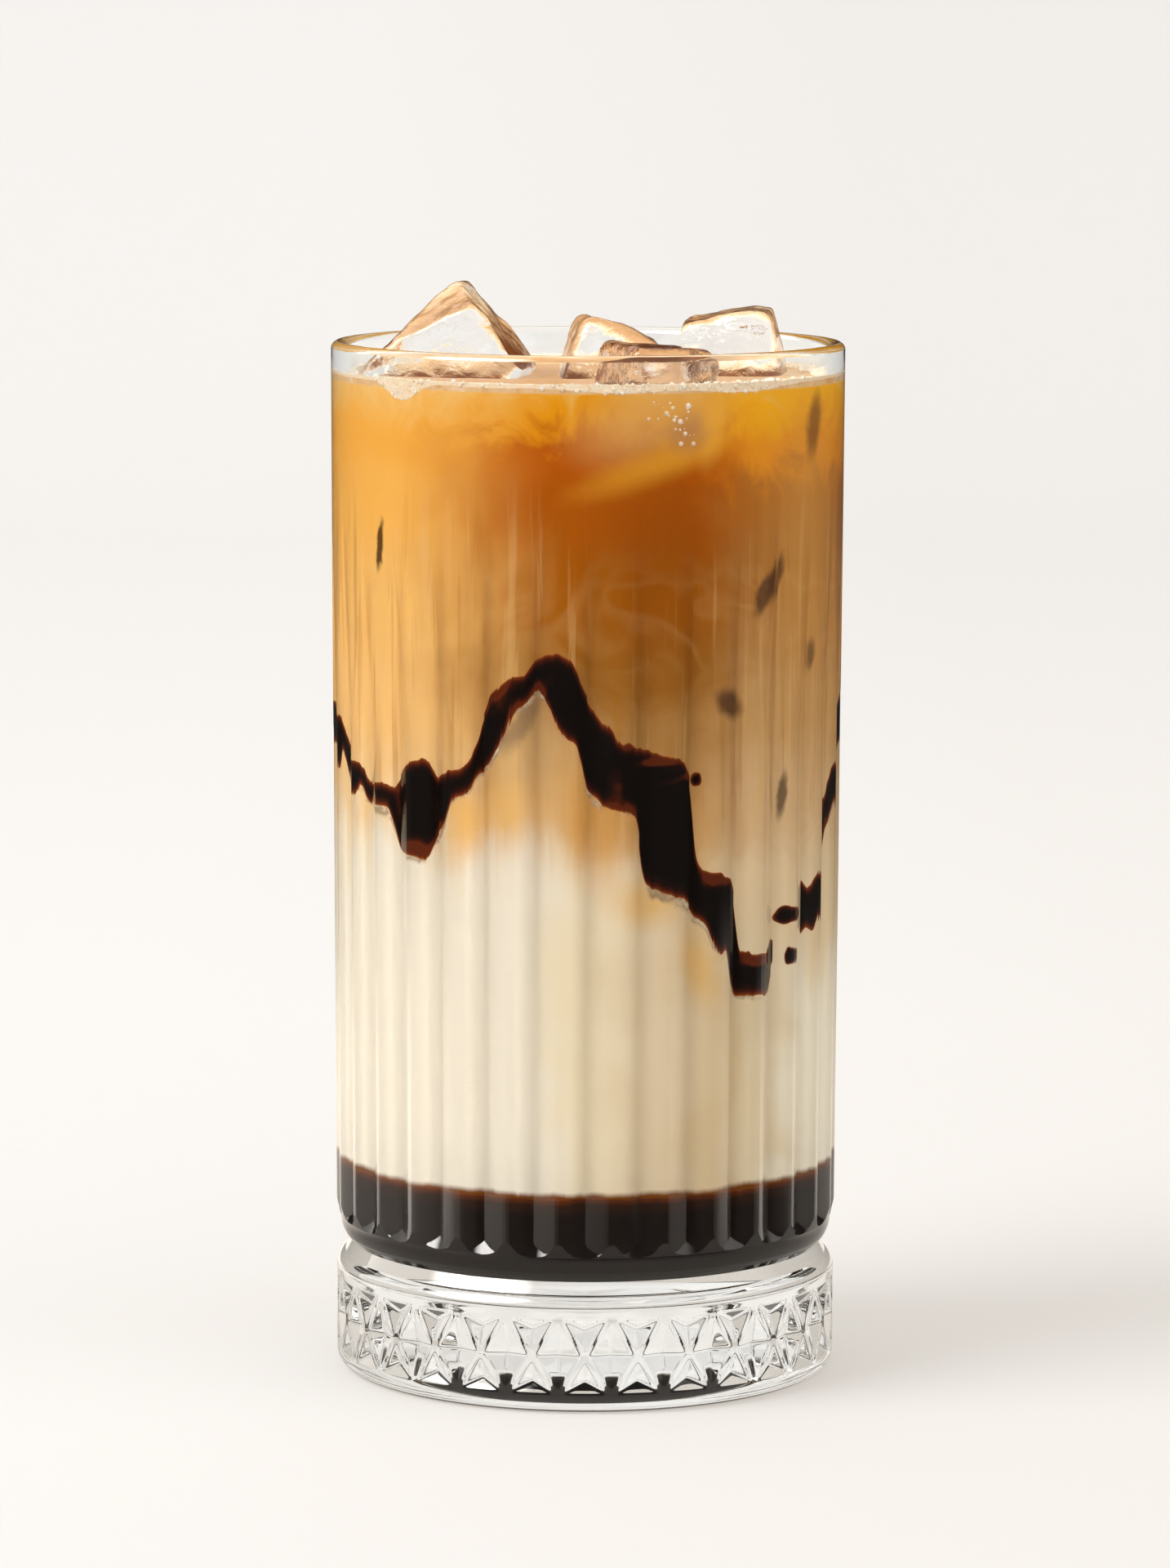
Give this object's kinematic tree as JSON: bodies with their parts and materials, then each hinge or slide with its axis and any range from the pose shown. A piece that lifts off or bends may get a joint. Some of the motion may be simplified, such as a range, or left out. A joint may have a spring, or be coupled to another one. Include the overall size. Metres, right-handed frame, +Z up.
{
  "type": "iced mocha",
  "caption": "Layered iced mocha in a tall fluted glass with a diamond-cut foot: syrup, milk and coffee, a ribbon of chocolate sauce and ice cubes standing out of the drink.",
  "frame": {"origin": "middle of the foot, on the surface that the glass stands on", "axes": "+Z up along the axis of the glass, -Y towards the front, +X to the right as seen from the front"},
  "size_m": [0.0722, 0.0722, 0.1549],
  "materials": {
    "glass": "clear pressed glass, polished",
    "syrup": "thick glossy chocolate syrup",
    "milk": "cold milk, smooth",
    "coffee": "milky coffee, clouded",
    "sauce": "glossy chocolate sauce",
    "ice": "clear wet ice"
  },
  "bodies": {
    "root": {"glass": "glass", "chocolate_syrup": "syrup", "milk": "milk", "coffee": "coffee", "chocolate_sauce": "sauce", "ice_left": "ice", "ice_middle": "ice", "ice_front": "ice", "ice_right": "ice"}
  },
  "joints": []
}
